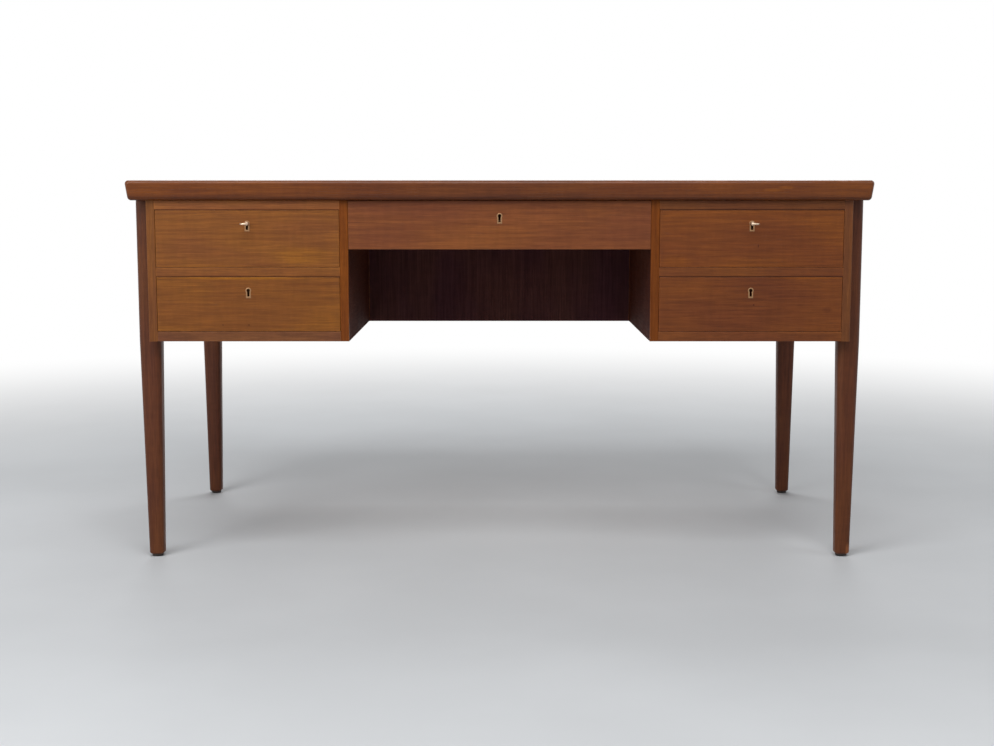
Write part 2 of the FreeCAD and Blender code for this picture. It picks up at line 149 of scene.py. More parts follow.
class DeskShapes(bpy.types.PropertyGroup):
    """Sizes of the pieces that are shaped here on the frame's places"""

    leg_foot_width: length("Leg foot width", "Width of a leg at its foot", 0.0285)
    leg_corner_radius: length("Leg corner radius", "Rounding of a leg's corners beside the case", 0.013)
    leg_foot_chamfer: length("Leg foot chamfer", "Bevel round a leg's foot", 0.003)
    leg_corner_cuts: IntProperty(name="Leg corner cuts", description="Facets in a leg's corner", default=10,
                                 min=1, subtype="UNSIGNED")
    glide_edge: length("Glide edge", "Rounding of a glide's lower edge", 0.002)
    screw_slot_width: length("Screw slot width", "Width of the slot in a 10 mm screw head", 0.0014)
    screw_slot_depth: length("Screw slot depth", "Depth of the slot in a 10 mm screw head", 0.0011)
    lock_screw_dome: length("Lock screw dome", "Rise of a lock screw's round head", 0.0004)
    keyhole_radius: length("Keyhole radius", "Radius of a keyhole's round head", 0.0032)
    keyhole_slot_width: length("Keyhole slot width", "Width of a keyhole's slot", 0.0044)
    keyhole_slot_drop: length("Keyhole slot drop", "From the keyhole's axis to the slot's end", 0.0115)
    plate_body_width: length("Plate body width", "Width of a keyhole plate below its head", 0.0094)
    plate_rim: length("Plate rim", "Rounding of a keyhole plate's edges", 0.0003)
    key_bow_length: length("Key bow length", "Length of a key's bow along the key", 0.016)
    key_bow_thickness: length("Key bow thickness", "Thickness of a key's bow", 0.0036)
    key_hole_width: length("Key hole width", "Width of the hole in a key's bow", 0.0084)
    key_hole_length: length("Key hole length", "Length of the hole in a key's bow", 0.0072)
    key_shaft_diameter: length("Key shaft diameter", "Diameter of a key's shaft", 0.005)
    key_collar_place: length("Key collar place", "From the case's front to the middle of the collar", 0.00715)
    key_bit_length: length("Key bit length", "From a key's axis to the end of its bit", 0.0078)
    key_bit_depth: length("Key bit depth", "Size of the bit along the key", 0.0036)
    key_bit_thickness: length("Key bit thickness", "Thickness of the bit", 0.002)


class DeskStage(bpy.types.PropertyGroup):
    """Camera, lamps and floor"""

    camera_place: FloatVectorProperty(name="Camera place", description="Where the camera stands", size=3,
                                      subtype="TRANSLATION", unit="LENGTH",
                                      default=(-0.0048, -3.11015, 0.7109))
    camera_pitch: FloatProperty(name="Camera pitch", description="How far the camera looks down",
                                subtype="ANGLE", unit="ROTATION", default=0.1234)
    camera_lens: FloatProperty(name="Camera lens", description="Focal length", default=53.05,
                               subtype="DISTANCE_CAMERA", unit="CAMERA")
    floor: colour("Floor", "Floor round the desk", 209, 212, 215)
    floor_reach: length("Floor reach", "Where the floor starts to fade into the backdrop", 1.1)
    floor_fade: length("Floor fade", "How far the fading runs", 2.6)
    overhead_power: power("Overhead power", "Soft lamp above the front", 88)
    left_power: power("Left power", "Soft lamp at the left", 38)
    right_power: power("Right power", "Soft lamp at the right", 14)
    rear_power: power("Rear power", "Soft lamp above the back", 60)
    ambient: share("Ambient", "Even light from all round", 0.08)


# Wiring of node trees

class Wires:
    """Places nodes in a tree: an input given a socket is linked, and one given a value is set."""

    def __init__(self, tree):
        self.tree = tree

    def feed(self, node, inputs):
        """Link or set some inputs of a node."""
        for key, value in inputs.items():
            if isinstance(value, bpy.types.NodeSocket):
                self.tree.links.new(value, node.inputs[key])
            else:
                node.inputs[key].default_value = value

    def place(self, kind, inputs=None, **settings):
        """New node with its settings and inputs."""
        node = self.tree.nodes.new(kind)
        for name, value in settings.items():
            setattr(node, name, value)
        self.feed(node, inputs or {})
        return node

    def made(self, kind, inputs=None, **settings):
        """First output of a new node."""
        return self.place(kind, inputs, **settings).outputs[0]

    def math(self, operation, *values):
        """Result of a sum on single values."""
        return self.made("ShaderNodeMath", dict(enumerate(values)), operation=operation)

    def plus(self, first, second):
        """Two values added."""
        return self.math("ADD", first, second)

    def minus(self, first, second):
        """First value less the second."""
        return self.math("SUBTRACT", first, second)

    def times(self, first, second):
        """Two values multiplied."""
        return self.math("MULTIPLY", first, second)

    def vector(self, operation, *values):
        """Result of a sum on vectors."""
        return self.made("ShaderNodeVectorMath", dict(enumerate(values)), operation=operation)

    def size(self, vector):
        """Length of a vector."""
        return self.place("ShaderNodeVectorMath", {0: vector}, operation="LENGTH").outputs["Value"]

    def parts(self, vector):
        """The three parts of a vector by axis."""
        return self.place("ShaderNodeSeparateXYZ", {0: vector}).outputs

    def joined(self, x, y, z):
        """Vector of three values."""
        return self.made("ShaderNodeCombineXYZ", {0: x, 1: y, 2: z})

    def upward(self, height):
        """Vector straight up, or down where the height is below nought."""
        return self.joined(0.0, 0.0, height)

    def noise(self, vector, scale, detail=2.0, roughness=0.5, output="Fac"):
        """Noise at a vector."""
        inputs = {"Vector": vector, "Scale": scale, "Detail": detail, "Roughness": roughness}
        return self.place("ShaderNodeTexNoise", inputs).outputs[output]

    def span(self, value, low, high, first=0.0, last=1.0, kind="SMOOTHSTEP"):
        """Value carried from one span to another, and kept inside it."""
        inputs = {0: value, 1: low, 2: high, 3: first, 4: last}
        return self.made("ShaderNodeMapRange", inputs, interpolation_type=kind)

    def blend(self, amount, first, second, kind="MIX"):
        """Two colours mixed by an amount."""
        inputs = {0: amount, 6: first, 7: second}
        return self.place("ShaderNodeMix", inputs, data_type="RGBA", blend_type=kind).outputs[2]

    def effect(self, name, inputs):
        """Outputs of a shared effect placed with its own values."""
        return self.place("ShaderNodeGroup", inputs, node_tree=shared_tree(name)).outputs

    def result(self, outputs):
        """Close a node group with its outputs, and give its tree."""
        self.place("NodeGroupOutput", outputs)
        return self.tree


def node_group(kind, name, inputs, outputs):
    """New node group with named sockets: its wires and its input sockets."""
    tree = bpy.data.node_groups.new(name, kind)
    for label, socket, default in inputs:
        made = tree.interface.new_socket(label, in_out="INPUT", socket_type="NodeSocket" + socket)
        if default is not None:
            made.default_value = default
    for label, socket in outputs:
        tree.interface.new_socket(label, in_out="OUTPUT", socket_type="NodeSocket" + socket)
    wires = Wires(tree)
    return wires, wires.place("NodeGroupInput").outputs


def effect_group(name, values, masks):
    """New shader group that reads a place and some values, and puts out masks."""
    inputs = [("Vector", "Vector", None)]
    for label, default in values.items():
        inputs.append((label, "Vector" if isinstance(default, tuple) else "Float", default))
    return node_group("ShaderNodeTree", name, inputs, [(label, "Float") for label in masks])


def opaque(rgb, factor=1.0):
    """Colour with full cover, made lighter or darker by a factor."""
    return tinted(rgb, (factor, factor, factor))


def tinted(rgb, tint):
    """Colour with full cover, each channel made lighter or darker."""
    return (*[min(channel * part, 1.0) for channel, part in zip(rgb, tint)], 1.0)


# Effects that several finishes share

def wood_figure_group():
    """Figure of straight-grained wood, its grain along X: bands, streaks, pores, slow drift and ripple."""
    wires, entry = effect_group("Wood figure", {"Growth": 190.0, "Sway": 0.006, "Pore Share": 0.4},
                                ("Bands", "Streaks", "Pores", "Drift", "Ripple"))
    place, growth, sway = entry["Vector"], entry["Growth"], entry["Sway"]
    sway_stretch = (2.3, 8.0, 8.0)
    grain_stretch = (0.04, 1.0, 0.4)
    drift_stretch = (1.0, 2.6, 2.6)
    ripple_stretch = (1.0, 0.22, 0.22)
    streak_fineness = 3.4
    pore_fineness = 8.0
    pore_limit = 0.78
    pore_range = 0.3
    pore_softness = 0.1
    wander = wires.noise(wires.vector("MULTIPLY", place, sway_stretch), scale=1.0, output="Color")
    wander = wires.vector("SUBTRACT", wander, (0.5, 0.5, 0.5))
    wander = wires.vector("MULTIPLY", wander, wires.joined(0.0, sway, sway))
    line = wires.vector("MULTIPLY", wires.vector("ADD", place, wander), grain_stretch)
    rings = wires.noise(line, growth, detail=3.0)
    streaks = wires.noise(line, wires.times(growth, streak_fineness), detail=3.0, roughness=0.6)
    pores = wires.noise(line, wires.times(growth, pore_fineness), detail=1.0)
    limit = wires.minus(pore_limit, wires.times(entry["Pore Share"], pore_range))
    drift = wires.noise(wires.vector("MULTIPLY", place, drift_stretch), scale=4.5)
    ripple = wires.noise(wires.vector("MULTIPLY", place, ripple_stretch), scale=95.0)
    return wires.result({
        "Bands": wires.span(rings, 0.28, 0.72),
        "Streaks": wires.span(streaks, 0.28, 0.72),
        "Pores": wires.span(pores, limit, wires.plus(limit, pore_softness)),
        "Drift": wires.span(drift, 0.3, 0.7),
        "Ripple": wires.span(ripple, 0.3, 0.7),
    })


def edge_wear_group():
    """How near a point on a box-shaped piece is to one of its edges, with a ragged limit."""
    wires, entry = effect_group("Edge wear", {"Low": origin, "High": origin, "Reach": 0.003}, ["Wear"])
    place = entry["Vector"]
    least_reach = 0.25
    below = wires.vector("SUBTRACT", place, entry["Low"])
    above = wires.vector("SUBTRACT", entry["High"], place)
    inset = wires.parts(wires.vector("MINIMUM", below, above))
    nearer = wires.math("MINIMUM", inset["X"], inset["Y"])
    further = wires.math("MAXIMUM", inset["X"], inset["Y"])
    second = wires.math("MAXIMUM", nearer, wires.math("MINIMUM", further, inset["Z"]))
    ragged = wires.span(wires.noise(place, scale=55.0, detail=4.0), 0.3, 0.7, least_reach, 1.0)
    limit = wires.times(entry["Reach"], ragged)
    return wires.result({"Wear": wires.span(second, limit, 0.0)})


def scratched(wires, place, turn, stretch, detail):
    """Noise drawn out into fine lines that cross the surface."""
    lines = wires.made("ShaderNodeMapping", {"Vector": place, "Rotation": turn, "Scale": stretch})
    return wires.noise(lines, scale=1.0, detail=detail)


def handling_group():
    """Marks of use: broad smudges, and fine scratches that cross the surface."""
    wires, entry = effect_group("Handling", {"Smudge Size": 0.12}, ("Smudges", "Scratches"))
    place = entry["Vector"]
    fineness = wires.math("DIVIDE", 1.0, entry["Smudge Size"])
    smudges = wires.noise(place, fineness, detail=4.0, roughness=0.6)
    scratches = scratched(wires, place, turn=(0.5, 0.35, 0.25), stretch=(7, 420, 420), detail=1.0)
    return wires.result({"Smudges": wires.span(smudges, 0.35, 0.65),
                         "Scratches": wires.span(scratches, 0.72, 0.8)})


def patch_group():
    """Soft-edged oval patch at one place, for a stain, a dent, a stretch of paler wood, or a painted shadow
    or highlight.
    """
    values = {"Centre": origin, "Reach": (0.01, 0.01, 0.01), "Raggedness": 0.3}
    wires, entry = effect_group("Patch", values, ["Patch"])
    centre = entry["Centre"]
    soft_from = 0.35
    away = wires.vector("DIVIDE", wires.vector("SUBTRACT", entry["Vector"], centre), entry["Reach"])
    stray = wires.noise(wires.vector("ADD", away, centre), scale=2.2, detail=3.0)
    stray = wires.times(wires.minus(stray, 0.5), entry["Raggedness"])
    return wires.result({"Patch": wires.span(wires.plus(wires.size(away), stray), 1.0, soft_from)})


def patina_group():
    """Dulling of old metal: tarnish in clouds, and fine rubbed scratches."""
    wires, entry = effect_group("Patina", {"Cloud Size": 0.004}, ("Tarnish", "Scratches"))
    place = entry["Vector"]
    fineness = wires.math("DIVIDE", 1.0, entry["Cloud Size"])
    clouds = wires.noise(place, fineness, detail=5.0, roughness=0.62)
    scratches = scratched(wires, place, turn=(0.9, 0.4, 0.2), stretch=(120, 2600, 2600), detail=2.0)
    return wires.result({"Tarnish": wires.span(clouds, 0.38, 0.66),
                         "Scratches": wires.span(scratches, 0.5, 0.75)})


# Finishes

def blank_finish(name):
    """New material with its shader: the material, its wires and the shader's node."""
    material = bpy.data.materials.new(name)
    material.use_nodes = True
    material.node_tree.nodes.clear()
    wires = Wires(material.node_tree)
    shader = wires.place("ShaderNodeBsdfPrincipled")
    wires.place("ShaderNodeOutputMaterial", {"Surface": shader.outputs[0]})
    return material, wires, shader


def object_place(wires):
    """Coordinates that stay with the piece, in metres in the desk's frame."""
    return wires.place("ShaderNodeTexCoord").outputs["Object"]


def coat(wires, shader, body, roughness, relief, depth):
    """Give a shader its colour, its roughness and a relief of some depth."""
    bump = wires.made("ShaderNodeBump", {"Height": relief, "Distance": depth, "Strength": 1.0})
    wires.feed(shader, {"Base Color": body, "Roughness": roughness, "Normal": bump})


grain_orders = {"X": "XZY", "Y": "YZX", "Z": "ZXY", "X lying": "XYZ"}
plank_step = Vector((1.73, 0.617, 0.391))


def along_grain(wires, place, axis, plank):
    """Coordinates with X along the grain, on a plank of its own."""
    parts = wires.parts(place)
    turned = wires.joined(*[parts[name] for name in grain_orders[axis]])
    return wires.vector("ADD", turned, plank_step * plank)


# How teak strays from its own colour: shares of the contrast, then factors for red, green and blue
late_wood = (-0.62, -0.72, -0.66)
early_wood = (0.42, 0.56, 0.5)
line_shades = {"Streaks": (-0.5, 0.42), "Ripple": (-0.12, 0.12)}
red_place = (0.82, 0.74, 0.9, 1)
golden_place = (1.26, 1.34, 0.82, 1)
worn_edge = (1.8, 1.95, 1.8)
pore_shade = 0.3

# How teak takes the light: the roughness setting, what smudges add to it, specular level, depth of relief
oiled = {"roughness": "roughness", "smudges": 0.1, "specular": 0.22, "relief": 0.0001}
polished = {"roughness": "top_roughness", "smudges": 0.03, "specular": 0.26, "relief": 0.00006}
# Specular level and added roughness of teak where a face carries painted shade
painted_shade_specular = 0.1
painted_shade_roughness = 0.3
streak_roughness = (0.06, -0.03)
worn_gloss = 0.12
streak_rise = 0.25
scratch_depth = 0.4

# Strip of solid wood along the front of a panel: its depth, and how far its figure is from the panel's
lipping_depth = 0.006
lipping_plank = 0.5


def teak(node, shade, axis, plank, marks=(), lipping=None, face=None, sheen=oiled, reach=0.0022, growth=None):
    """Teak for a CAD node, with its grain along one axis and worn within reach of the edges of its box.

    Marks are (centre, extent, tint) of single stains, paler places, painted shadows and painted highlights. A
    lipping is the grain's axis in the strip of solid wood along the front of a panel. A face is (colour,
    back):
    a colour of painted shade, laid between that strip and a place further back.
    """
    wood = bpy.context.scene.desk_wood
    contrast = wood.contrast
    material, wires, shader = blank_finish("teak_" + node)
    low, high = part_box(node)
    place = object_place(wires)
    along_y = wires.parts(place)["Y"]
    grain = along_grain(wires, place, axis, plank)
    if lipping:
        strip = along_grain(wires, place, lipping, plank + lipping_plank)
        behind = wires.math("GREATER_THAN", along_y, low.y + lipping_depth)
        mixed = wires.place("ShaderNodeMix", {0: behind, 4: strip, 5: grain}, data_type="VECTOR")
        grain = mixed.outputs[1]
    figure = wires.effect("Wood figure", {"Vector": grain, "Growth": growth or wood.growth})
    late, early = [tinted(shade, [1 + part * contrast for part in wood_ring])
                   for wood_ring in (late_wood, early_wood)]
    body = wires.blend(figure["Bands"], late, early)
    body = wires.blend(wood.drift, body, wires.blend(figure["Drift"], red_place, golden_place), "MULTIPLY")
    for mask, (fall, rise) in line_shades.items():
        lines = wires.span(figure[mask], 0, 1, 1 + fall * contrast, 1 + rise * contrast)
        body = wires.blend(1.0, body, lines, "MULTIPLY")
    body = wires.blend(wires.times(figure["Pores"], contrast), body, opaque(shade, pore_shade))
    # Painted shade: a face's wood is darkened towards the given colour between its front strip and the place
    # further back
    if face:
        shaded, back = face
        painted_shade = wires.math("LESS_THAN", along_y, back)
        if lipping:
            painted_shade = wires.times(painted_shade, behind)
        ratio = [inner / outer for inner, outer in zip(shaded, shade)]
        body = wires.blend(painted_shade, body, (*ratio, 1), "MULTIPLY")
    worn = wires.effect("Edge wear", {"Vector": place, "Low": low, "High": high, "Reach": reach})["Wear"]
    worn = wires.times(worn, wood.wear)
    body = wires.blend(worn, body, tinted(shade, worn_edge))
    for centre, extent, tint in marks:
        patch = wires.effect("Patch", {"Vector": place, "Centre": centre, "Reach": extent})["Patch"]
        body = wires.blend(patch, body, (*tint, 1), "MULTIPLY")
    handled = wires.effect("Handling", {"Vector": place})
    dull, bright = [getattr(wood, sheen["roughness"]) + part for part in streak_roughness]
    rough = wires.span(figure["Streaks"], 0, 1, dull, bright)
    rough = wires.plus(rough, wires.times(handled["Smudges"], sheen["smudges"]))
    rough = wires.minus(rough, wires.times(worn, worn_gloss))
    if face:
        rough = wires.plus(rough, wires.times(painted_shade, painted_shade_roughness))
    relief = wires.minus(wires.times(figure["Streaks"], streak_rise), figure["Pores"])
    relief = wires.minus(relief, wires.times(handled["Scratches"], scratch_depth))
    coat(wires, shader, body, rough, relief, sheen["relief"])
    wires.feed(shader, {"Specular IOR Level": painted_shade_specular if face else sheen["specular"]})
    return material


def pale_wood(node, shade, axis, plank, growth):
    """Waxed beech or plywood: faint figure with short darker flecks, and a little dirt along the edges."""
    material, wires, shader = blank_finish("pale_" + node)
    low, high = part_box(node)
    place = object_place(wires)
    grain = along_grain(wires, place, axis, plank)
    figure = wires.effect("Wood figure", {"Vector": grain, "Growth": growth, "Pore Share": 0.35})
    handled = wires.effect("Handling", {"Vector": place, "Smudge Size": 0.08})
    dirt = wires.effect("Edge wear", {"Vector": place, "Low": low, "High": high, "Reach": 0.002})
    body = wires.blend(figure["Bands"], opaque(shade, 0.82), opaque(shade, 1.1))
    layers = (
        (figure["Drift"], 0.35, tinted(shade, (1, 0.88, 0.76))),
        (figure["Pores"], 0.5, opaque(shade, 0.5)),
        (handled["Smudges"], 0.3, opaque(shade, 0.72)),
        (dirt["Wear"], 0.35, opaque(shade, 0.55)),
    )
    for mask, strength, layer in layers:
        body = wires.blend(wires.times(mask, strength), body, layer)
    rough = wires.span(figure["Streaks"], 0, 1, first=0.62, last=0.5)
    coat(wires, shader, body, rough, wires.minus(figure["Streaks"], figure["Pores"]), depth=0.0001)
    return material


def old_metal(name, shade, dull, cloud_size, roughness):
    """Plated or solid metal with clouded tarnish and rubbed scratches."""
    material, wires, shader = blank_finish(name)
    dull_roughness = 0.3
    rubbed_cover = 0.2
    rubbed_shade = 0.7
    rubbed_roughness = 0.12
    patina = wires.effect("Patina", {"Vector": object_place(wires), "Cloud Size": cloud_size})
    dulled = wires.times(patina["Tarnish"], bpy.context.scene.desk_metal.tarnish)
    body = wires.blend(dulled, opaque(shade), opaque(dull))
    body = wires.blend(wires.times(patina["Scratches"], rubbed_cover), body, opaque(shade, rubbed_shade))
    rough = wires.plus(wires.times(dulled, dull_roughness), roughness)
    rough = wires.plus(rough, wires.times(patina["Scratches"], rubbed_roughness))
    coat(wires, shader, body, rough, patina["Scratches"], depth=0.00001)
    wires.feed(shader, {"Metallic": 1.0})
    return material


def glide_plastic(name, shade):
    """Hard black plastic, scuffed paler where it meets the floor."""
    material, wires, shader = blank_finish(name)
    place = object_place(wires)
    scuff_height = 0.003
    scuff_shade = 2.2
    handled = wires.effect("Handling", {"Vector": place, "Smudge Size": 0.006})
    scuff = wires.span(wires.parts(place)["Z"], scuff_height, 0.0)
    scuff = wires.times(scuff, wires.span(handled["Smudges"], 0, 1, first=0.2, last=0.8))
    body = wires.blend(scuff, opaque(shade), opaque(shade, scuff_shade))
    rough = wires.span(handled["Smudges"], 0, 1, first=0.45, last=0.62)
    coat(wires, shader, body, rough, handled["Scratches"], depth=0.00005)
    return material


def finish_node(node, material):
    """Give a CAD node that is shown as it is its finish."""
    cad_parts[node].material_slots[0].material = material


# Making pieces

merge_distance = 0.000002
flat_angle = math.radians(0.4)
sharp_angle = math.radians(32)


def linked(name, data):
    """New object in the scene."""
    item = bpy.data.objects.new(name, data)
    bpy.context.scene.collection.objects.link(item)
    return item


def add_piece(name, mesh, body, node):
    """New piece on a body of the frame, standing for a CAD node."""
    piece = linked(name, mesh)
    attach(piece, body)
    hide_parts(node)


def corners(vertices):
    """Lowest and highest corner of some vertices."""
    columns = list(zip(*[vertex.co for vertex in vertices]))
    return Vector([min(column) for column in columns]), Vector([max(column) for column in columns])


def solid_boxes(node):
    """Corners of each separate solid in a CAD node."""
    return [corners(mesh.vertices) for mesh in loose_solids(node)]


def diagonal(mesh):
    """From the lowest to the highest corner of a mesh."""
    low, high = corners(mesh.vertices)
    return (high - low).length


def smooth_fill(work, mesh):
    """Fill a mesh from the work on it, shaded smooth."""
    for face in work.faces:
        face.smooth = True
    work.to_mesh(mesh)
    work.free()
    return mesh


def settle(work, mesh):
    """Fill a mesh from the work on it: shaded smooth but for sharp edges, with its normals outwards."""
    bmesh.ops.recalc_face_normals(work, faces=work.faces)
    for edge in work.edges:
        edge.smooth = len(edge.link_faces) == 2 and edge.calc_face_angle(0.0) < sharp_angle
    return smooth_fill(work, mesh)


def loose_solids(node):
    """The separate solids of a CAD node, largest first: merged copies, shaded smooth all over."""
    whole = bmesh.new()
    whole.from_mesh(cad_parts[node].data)
    bmesh.ops.remove_doubles(whole, verts=whole.verts, dist=merge_distance)
    bmesh.ops.dissolve_limit(whole, angle_limit=flat_angle, verts=whole.verts, edges=whole.edges)
    left = dict.fromkeys(whole.verts)
    meshes = []
    while left:
        found = [left.popitem()[0]]
        for vertex in found:
            near = [edge.other_vert(vertex) for edge in vertex.link_edges]
            joining = [other for other in near if other in left]
            found.extend(joining)
            for other in joining:
                del left[other]
        part = bmesh.new()
        copies = {vertex: part.verts.new(vertex.co) for vertex in found}
        for face in dict.fromkeys(face for vertex in found for face in vertex.link_faces):
            part.faces.new([copies[vertex] for vertex in face.verts])
        meshes.append(smooth_fill(part, bpy.data.meshes.new(node)))
    whole.free()
    return sorted(meshes, key=diagonal, reverse=True)


def shown_mesh(maker):
    """Plain mesh of what an object shows. The object itself is removed."""
    depsgraph = bpy.context.evaluated_depsgraph_get()
    mesh = bpy.data.meshes.new_from_object(maker.evaluated_get(depsgraph), depsgraph=depsgraph)
    bpy.data.objects.remove(maker)
    return mesh


def grown(name, shape, values, start=None):
    """Plain mesh that a geometry tree makes with these values, from a mesh where it needs one."""
    tree = shared_tree(shape)
    maker = linked(name, start or bpy.data.meshes.new(name))
    modifier = maker.modifiers.new("Shape", "NODES")
    modifier.node_group = tree
    for item in tree.interface.items_tree:
        if item.in_out == "INPUT" and item.name in values:
            modifier[item.identifier] = values[item.name]
    mesh = shown_mesh(maker)
    if not mesh.polygons:
        raise RuntimeError(f"{shape} made no faces for {name}")
    if mesh.materials[0] is None:
        mesh.materials.pop(index=0)
    mesh.name = name
    return mesh


# Shapes grown from geometry trees

def picked(wires, values):
    """One of several values, by the point's index."""
    switch = wires.place("GeometryNodeIndexSwitch", data_type="FLOAT")
    while len(switch.index_switch_items) < len(values):
        switch.index_switch_items.new()
    wires.feed(switch, {"Index": wires.made("GeometryNodeInputIndex")})
    wires.feed(switch, {str(number): value for number, value in enumerate(values)})
    return switch.outputs[0]


def swept_post(wires, profile, heights, widths, full_width):
    """Closed post: a profile carried up through stations, each with its own height and width."""
    line = wires.made("GeometryNodeMeshLine", {"Count": len(heights)})
    stations = {"Geometry": line, "Position": wires.upward(picked(wires, heights))}
    path = wires.made("GeometryNodeMeshToCurve", {"Mesh": wires.made("GeometryNodeSetPosition", stations)})
    scale = wires.math("DIVIDE", picked(wires, widths), full_width)
    inputs = {"Curve": path, "Profile Curve": profile, "Scale": scale, "Fill Caps": True}
    return wires.made("GeometryNodeCurveToMesh", inputs)


def moved(wires, geometry, place):
    """Geometry carried to a place."""
    return wires.made("GeometryNodeTransform", {"Geometry": geometry, "Translation": place})


def cut_out(wires, body, cutter):
    """Body with the cutter's space taken out of it."""
    inputs = {"Mesh 1": body, "Mesh 2": cutter}
    return wires.made("GeometryNodeMeshBoolean", inputs, operation="DIFFERENCE", solver="EXACT")


def spread(wires, points, shape, turn=origin):
    """A shape at each point."""
    many = wires.made("GeometryNodeInstanceOnPoints", {"Points": points, "Instance": shape, "Rotation": turn})
    return wires.made("GeometryNodeRealizeInstances", {"Geometry": many})


def finished_geometry(wires, geometry, material):
    """Close a tree: smooth shading with sharp edges kept, real geometry and its finish."""
    inputs = {"Geometry": geometry, "Shade Smooth": True}
    smooth = wires.made("GeometryNodeSetShadeSmooth", inputs, domain="FACE")
    inputs = {"A": wires.made("GeometryNodeInputMeshEdgeAngle"), "B": sharp_angle}
    sharp = wires.made("FunctionNodeCompare", inputs, operation="GREATER_THAN")
    inputs = {"Geometry": smooth, "Selection": sharp, "Shade Smooth": False}
    creased = wires.made("GeometryNodeSetShadeSmooth", inputs, domain="EDGE")
    real = wires.made("GeometryNodeRealizeInstances", {"Geometry": creased})
    coated = wires.made("GeometryNodeSetMaterial", {"Geometry": real, "Material": material})
    return wires.result({0: coated})


def shape_tree(name, lengths, others):
    """New geometry tree with inputs for other sockets, any geometry first, for lengths and for a finish."""
    kinds = {**others, **dict.fromkeys(lengths, "Float"), "Finish": "Material"}
    inputs = [(label, kind, None) for label, kind in kinds.items()]
    return node_group("GeometryNodeTree", name, inputs, [("Geometry", "Geometry")])


def leg_tree():
    """Tapered leg with soft corners, straight beside the case and cut back over the case's side."""
    lengths = ("Width", "Foot Width", "Corner Radius", "Foot Chamfer", "Foot Height", "Knee Height",
               "Top Height")
    others = {"Corner Cuts": "Int", "Place": "Vector", "Rebate Place": "Vector", "Rebate Size": "Vector"}
    wires, entry = shape_tree("Tapered leg", lengths, others)
    width, foot_width, chamfer = entry["Width"], entry["Foot Width"], entry["Foot Chamfer"]
    square = wires.made("GeometryNodeCurvePrimitiveQuadrilateral", {"Width": width, "Height": width})
    inputs = {"Curve": square, "Count": entry["Corner Cuts"], "Radius": entry["Corner Radius"]}
    profile = wires.made("GeometryNodeFilletCurve", inputs, mode="POLY")
    ankle = wires.plus(entry["Foot Height"], chamfer)
    toe_width = wires.minus(foot_width, wires.times(chamfer, 2.0))
    heights = [entry["Foot Height"], ankle, entry["Knee Height"], entry["Top Height"]]
    post = swept_post(wires, profile, heights, [toe_width, foot_width, width, width], width)
    rebate = wires.made("GeometryNodeMeshCube", {"Size": entry["Rebate Size"]})
    rebate = moved(wires, rebate, entry["Rebate Place"])
    leg = cut_out(wires, moved(wires, post, entry["Place"]), rebate)
    return finished_geometry(wires, leg, entry["Finish"])


def glide_tree():
    """Round glides with a softened lower edge, one at each point."""
    wires, entry = shape_tree("Glides", ("Diameter", "Height", "Edge"), {"Points": "Geometry"})
    edge_cuts = 4
    circle = wires.made("GeometryNodeCurvePrimitiveCircle", {"Resolution": 48})
    radius = wires.times(entry["Diameter"], 0.5)
    heights, widths = [], []
    for step in range(edge_cuts + 1):
        turn = math.pi / 2 * step / edge_cuts
        heights.append(wires.times(entry["Edge"], 1 - math.cos(turn)))
        widths.append(wires.minus(radius, wires.times(entry["Edge"], 1 - math.sin(turn))))
    post = swept_post(wires, circle, heights + [entry["Height"]], widths + [radius], 1.0)
    return finished_geometry(wires, spread(wires, entry["Points"], post), entry["Finish"])


